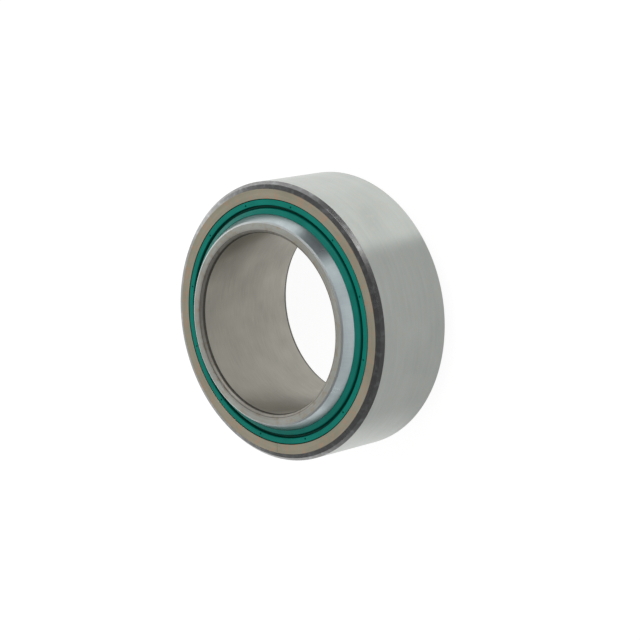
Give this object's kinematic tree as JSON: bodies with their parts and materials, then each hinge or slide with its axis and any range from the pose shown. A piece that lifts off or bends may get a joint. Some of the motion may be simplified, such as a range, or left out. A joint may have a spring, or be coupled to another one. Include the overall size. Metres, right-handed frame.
{
  "type": "spherical plain bearing",
  "caption": "Sealed radial spherical plain bearing: an inner ring with a chromed ball face swivels in a split outer ring behind green lip seals.",
  "frame": {"origin": "centre of the ball, on the bearing axis at mid width", "axes": "+Z along the bearing axis, out of the front seal; the part stands on the rear end face of its inner ring"},
  "size_m": [0.062, 0.062, 0.028],
  "materials": {
    "ground_steel": "satin",
    "chromed_steel": "polished ball, turned faces, ground bore",
    "liner_fabric": "matte",
    "seal_rubber": "satin"
  },
  "bodies": {
    "shaft_side": {"inner_ring": "chromed_steel"},
    "liner_side": {"sliding_liner": "liner_fabric"},
    "housing_side": {"outer_ring": "ground_steel", "front_seal": "seal_rubber", "rear_seal": "seal_rubber"}
  },
  "joints": [
    {"name": "tilt", "type": "hinge", "parent": "shaft_side", "child": "liner_side", "pos_m": [0, 0, 0], "axis": [1, 0, 0], "range_deg": [-7, 7]},
    {"name": "turn", "type": "hinge", "parent": "liner_side", "child": "housing_side", "pos_m": [0, 0, 0], "axis": [0, 0, 1], "continuous": true}
  ]
}
